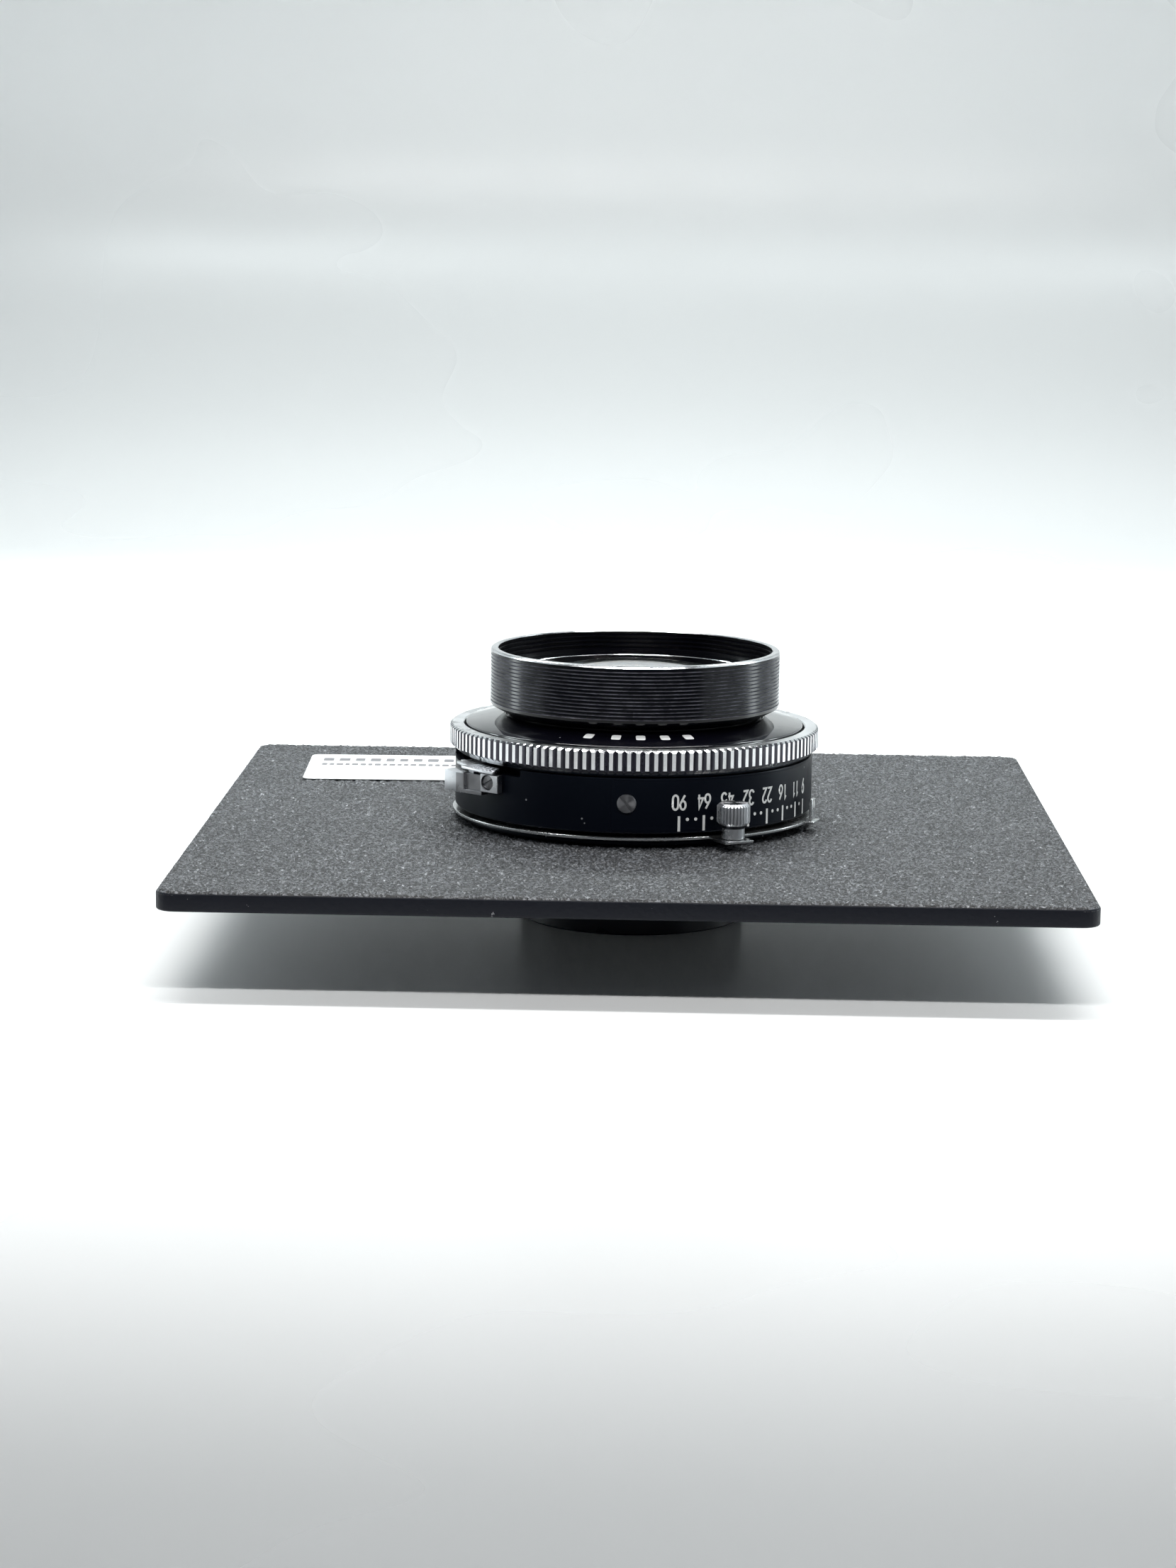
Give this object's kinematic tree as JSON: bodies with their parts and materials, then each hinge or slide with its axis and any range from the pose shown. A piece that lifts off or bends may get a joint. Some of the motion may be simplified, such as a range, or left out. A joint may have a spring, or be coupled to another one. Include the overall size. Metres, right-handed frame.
{
  "type": "shuttered lens on a lensboard",
  "caption": "Large-format lens in a leaf shutter on a square lensboard, with turning speed ring, aperture ring, iris, shutter blades and levers.",
  "frame": {"origin": "on the optical axis, in the plane of the rear barrel's rim, which the object stands on", "axes": "+Z along the optical axis towards the front of the lens, X and Y along the board's edges, -Y towards the aperture scale"},
  "size_m": [0.14, 0.14, 0.0446],
  "materials": {
    "wrinkle_paint": "black wrinkle paint",
    "paper_label": "white label film",
    "chrome": "satin to bright chrome",
    "knurled_chrome": "satin chrome, straight knurl",
    "satin_black": "satin black",
    "anodised_black": "black anodised, fine turned",
    "gloss_black": "gloss black lacquer",
    "steel": "turned",
    "blued_steel": "blackened sheet",
    "brass": "machined",
    "optical_glass": "polished and coated"
  },
  "bodies": {
    "lens_and_board": {"lens_board": "wrinkle_paint", "board_label": "paper_label", "board_nut": "satin_black", "rear_mount": "satin_black", "shutter_housing": "satin_black", "aperture_scale_plate": "satin_black", "scale_plate_screw": "steel", "blade_divider": "blued_steel", "mechanism_deck": "satin_black", "mechanism_lid": "satin_black", "face_plate": "gloss_black", "cable_release_socket": "chrome", "cable_socket_screw": "steel", "sync_terminal": "chrome", "sync_contact": "brass", "cocking_lever_stud": "steel", "retard_gear_stud": "steel", "escape_wheel_stud": "steel", "main_spring": "steel", "front_barrel": "anodised_black", "front_retaining_ring": "satin_black", "front_outer_element": "optical_glass", "front_spacer": "satin_black", "front_inner_element": "optical_glass", "rear_barrel": "anodised_black", "rear_retaining_ring": "satin_black", "rear_outer_element": "optical_glass", "rear_spacer": "satin_black", "rear_inner_element": "optical_glass"},
    "speed_selector": {"speed_ring": "knurled_chrome", "speed_cam": "steel"},
    "aperture_selector": {"aperture_ring": "chrome", "aperture_knob": "chrome"},
    "blade_drive": {"blade_drive_ring": "chrome"},
    "release": {"release_lever": "chrome"},
    "cocking": {"cocking_lever": "chrome"},
    "retard": {"retard_gear": "brass"},
    "escape": {"escape_wheel": "brass"},
    "iris_1": {"iris_blade_1": "blued_steel"},
    "iris_2": {"iris_blade_2": "blued_steel"},
    "iris_3": {"iris_blade_3": "blued_steel"},
    "iris_4": {"iris_blade_4": "blued_steel"},
    "iris_5": {"iris_blade_5": "blued_steel"},
    "iris_6": {"iris_blade_6": "blued_steel"},
    "iris_7": {"iris_blade_7": "blued_steel"},
    "leaf_1": {"shutter_blade_1": "blued_steel"},
    "leaf_2": {"shutter_blade_2": "blued_steel"},
    "leaf_3": {"shutter_blade_3": "blued_steel"},
    "leaf_4": {"shutter_blade_4": "blued_steel"},
    "leaf_5": {"shutter_blade_5": "blued_steel"}
  },
  "joints": [
    {"name": "speed_ring_turn", "type": "hinge", "parent": "lens_and_board", "child": "speed_selector", "pos_m": [0, 0, 0.03], "axis": [0, 0, 1], "range_deg": [-70, 60]},
    {"name": "aperture_ring_turn", "type": "hinge", "parent": "lens_and_board", "child": "aperture_selector", "pos_m": [0, 0, 0.018], "axis": [0, 0, 1], "range_deg": [-55, 0]},
    {"name": "blade_drive_turn", "type": "hinge", "parent": "lens_and_board", "child": "blade_drive", "pos_m": [0, 0, 0.0237], "axis": [0, 0, 1], "range_deg": [0, 20]},
    {"name": "release_lever_push", "type": "hinge", "parent": "lens_and_board", "child": "release", "pos_m": [0, 0, 0.027], "axis": [0, 0, 1], "range_deg": [0, 3.5], "stiffness_Nm_per_rad": 0.02, "springref_deg": -1.15},
    {"name": "cocking_lever_swing", "type": "hinge", "parent": "lens_and_board", "child": "cocking", "pos_m": [0.0123, 0.0213, 0.0256], "axis": [0, 0, 1], "range_deg": [0, 25], "stiffness_Nm_per_rad": 0.01, "springref_deg": -5.73},
    {"name": "retard_gear_spin", "type": "hinge", "parent": "lens_and_board", "child": "retard", "pos_m": [0.01901, 0.01561, 0.0256], "axis": [0, 0, 1], "range_deg": [-54, 0]},
    {"name": "escape_wheel_spin", "type": "hinge", "parent": "lens_and_board", "child": "escape", "pos_m": [0.02168, 0.01162, 0.0256], "axis": [0, 0, 1], "range_deg": [0, 76]},
    {"name": "iris_blade_1_pivot", "type": "hinge", "parent": "lens_and_board", "child": "iris_1", "pos_m": [0.0256, 0, 0.02], "axis": [0, 0, 1], "range_deg": [0, 23.62]},
    {"name": "iris_blade_2_pivot", "type": "hinge", "parent": "lens_and_board", "child": "iris_2", "pos_m": [0.01596, 0.02002, 0.02], "axis": [0, 0, 1], "range_deg": [0, 23.62]},
    {"name": "iris_blade_3_pivot", "type": "hinge", "parent": "lens_and_board", "child": "iris_3", "pos_m": [-0.0057, 0.02496, 0.02], "axis": [0, 0, 1], "range_deg": [0, 23.62]},
    {"name": "iris_blade_4_pivot", "type": "hinge", "parent": "lens_and_board", "child": "iris_4", "pos_m": [-0.02306, 0.01111, 0.02], "axis": [0, 0, 1], "range_deg": [0, 23.62]},
    {"name": "iris_blade_5_pivot", "type": "hinge", "parent": "lens_and_board", "child": "iris_5", "pos_m": [-0.02306, -0.01111, 0.02], "axis": [0, 0, 1], "range_deg": [0, 23.62]},
    {"name": "iris_blade_6_pivot", "type": "hinge", "parent": "lens_and_board", "child": "iris_6", "pos_m": [-0.0057, -0.02496, 0.02], "axis": [0, 0, 1], "range_deg": [0, 23.62]},
    {"name": "iris_blade_7_pivot", "type": "hinge", "parent": "lens_and_board", "child": "iris_7", "pos_m": [0.01596, -0.02002, 0.02], "axis": [0, 0, 1], "range_deg": [0, 23.62]},
    {"name": "shutter_blade_1_pivot", "type": "hinge", "parent": "lens_and_board", "child": "leaf_1", "pos_m": [0.02629, 0.00237, 0.0225], "axis": [0, 0, 1], "range_deg": [-34.65, 0]},
    {"name": "shutter_blade_2_pivot", "type": "hinge", "parent": "lens_and_board", "child": "leaf_2", "pos_m": [0.00588, 0.02574, 0.0225], "axis": [0, 0, 1], "range_deg": [-34.65, 0]},
    {"name": "shutter_blade_3_pivot", "type": "hinge", "parent": "lens_and_board", "child": "leaf_3", "pos_m": [-0.02266, 0.01354, 0.0225], "axis": [0, 0, 1], "range_deg": [-34.65, 0]},
    {"name": "shutter_blade_4_pivot", "type": "hinge", "parent": "lens_and_board", "child": "leaf_4", "pos_m": [-0.01988, -0.01737, 0.0225], "axis": [0, 0, 1], "range_deg": [-34.65, 0]},
    {"name": "shutter_blade_5_pivot", "type": "hinge", "parent": "lens_and_board", "child": "leaf_5", "pos_m": [0.01038, -0.02428, 0.0225], "axis": [0, 0, 1], "range_deg": [-34.65, 0]}
  ],
  "couplings": [
    {"joint": "retard_gear_spin", "follows": "cocking_lever_swing", "ratio": -2.1429},
    {"joint": "escape_wheel_spin", "follows": "cocking_lever_swing", "ratio": 3},
    {"joint": "iris_blade_1_pivot", "follows": "aperture_ring_turn", "ratio": -0.4286},
    {"joint": "iris_blade_2_pivot", "follows": "aperture_ring_turn", "ratio": -0.4286},
    {"joint": "iris_blade_3_pivot", "follows": "aperture_ring_turn", "ratio": -0.4286},
    {"joint": "iris_blade_4_pivot", "follows": "aperture_ring_turn", "ratio": -0.4286},
    {"joint": "iris_blade_5_pivot", "follows": "aperture_ring_turn", "ratio": -0.4286},
    {"joint": "iris_blade_6_pivot", "follows": "aperture_ring_turn", "ratio": -0.4286},
    {"joint": "iris_blade_7_pivot", "follows": "aperture_ring_turn", "ratio": -0.4286},
    {"joint": "shutter_blade_1_pivot", "follows": "blade_drive_turn", "ratio": -1.7298},
    {"joint": "shutter_blade_2_pivot", "follows": "blade_drive_turn", "ratio": -1.7298},
    {"joint": "shutter_blade_3_pivot", "follows": "blade_drive_turn", "ratio": -1.7298},
    {"joint": "shutter_blade_4_pivot", "follows": "blade_drive_turn", "ratio": -1.7298},
    {"joint": "shutter_blade_5_pivot", "follows": "blade_drive_turn", "ratio": -1.7298}
  ]
}
